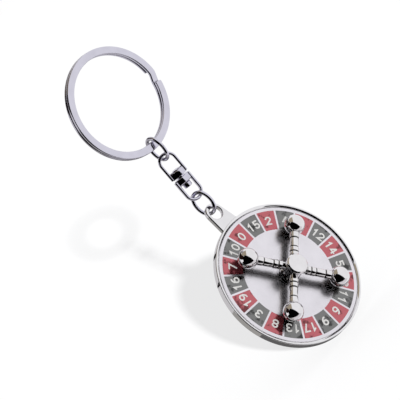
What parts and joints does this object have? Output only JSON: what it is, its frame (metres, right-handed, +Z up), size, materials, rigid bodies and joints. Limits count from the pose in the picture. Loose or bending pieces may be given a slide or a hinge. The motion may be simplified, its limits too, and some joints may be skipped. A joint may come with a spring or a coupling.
{
  "type": "roulette wheel key ring",
  "caption": "Key ring with a round charm: a numbered wheel in red and black enamel under a spinning ball-ended turret, hung from a flat split ring by links and a swivel.",
  "frame": {"origin": "highest point inside the split ring, where a key or a hook bears", "axes": "+Z up along the hanging chain, +X right seen from the front, the dial faces -Y and a little up"},
  "size_m": [0.04, 0.0205, 0.0956],
  "materials": {
    "polished_nickel": "nickel plated steel, polished",
    "nickel_zinc": "nickel plated zinc, polished",
    "mirror_plate": "plated, mirror polished",
    "red_enamel": "translucent epoxy enamel, glossy",
    "black_enamel": "epoxy enamel, glossy",
    "white_ink": "printed, raised",
    "brass": "turned",
    "bright_steel": "turned",
    "chrome": "chrome plated brass, mirror polished"
  },
  "bodies": {
    "key_ring": {"split_ring": "polished_nickel"},
    "upper_link": {"ring_link": "polished_nickel"},
    "swivel_upper": {"swivel_upper_stirrup": "polished_nickel", "swivel_rivet": "polished_nickel"},
    "swivel_lower": {"swivel_lower_stirrup": "polished_nickel"},
    "lower_link": {"tab_link": "polished_nickel"},
    "wheel": {"case": "nickel_zinc", "dial_plate": "mirror_plate", "red_enamel": "red_enamel", "black_enamel": "black_enamel", "numerals": "white_ink", "back_cover": "nickel_zinc", "spindle_bush": "brass"},
    "turret": {"spindle": "bright_steel", "retaining_clip": "bright_steel", "turret_hub": "chrome", "turret_cap": "chrome", "turret_arm_1": "chrome", "turret_arm_2": "chrome", "turret_arm_3": "chrome", "turret_arm_4": "chrome", "turret_ball_1": "chrome", "turret_ball_2": "chrome", "turret_ball_3": "chrome", "turret_ball_4": "chrome"}
  },
  "joints": [
    {"name": "link_on_ring", "type": "hinge", "parent": "key_ring", "child": "upper_link", "pos_m": [0, 0, -0.02741], "axis": [1, 0, 0], "range_deg": [-60, 60]},
    {"name": "swivel_on_link", "type": "hinge", "parent": "upper_link", "child": "swivel_upper", "pos_m": [0, 0, -0.03181], "axis": [0, 1, 0], "range_deg": [-45, 45]},
    {"name": "swivel_turn", "type": "hinge", "parent": "swivel_upper", "child": "swivel_lower", "pos_m": [0, 0, -0.0377], "axis": [0, 0, 1], "continuous": true},
    {"name": "link_on_swivel", "type": "hinge", "parent": "swivel_lower", "child": "lower_link", "pos_m": [0, 0, -0.0436], "axis": [0.3256, -0.9455, 0], "range_deg": [-28, 28]},
    {"name": "wheel_on_link", "type": "hinge", "parent": "lower_link", "child": "wheel", "pos_m": [0, 0, -0.048], "axis": [1, 0, 0], "range_deg": [-25, 60]},
    {"name": "turret_spin", "type": "hinge", "parent": "wheel", "child": "turret", "pos_m": [0, -0.00853, -0.07402], "axis": [0, -0.9563, 0.2924], "continuous": true}
  ]
}
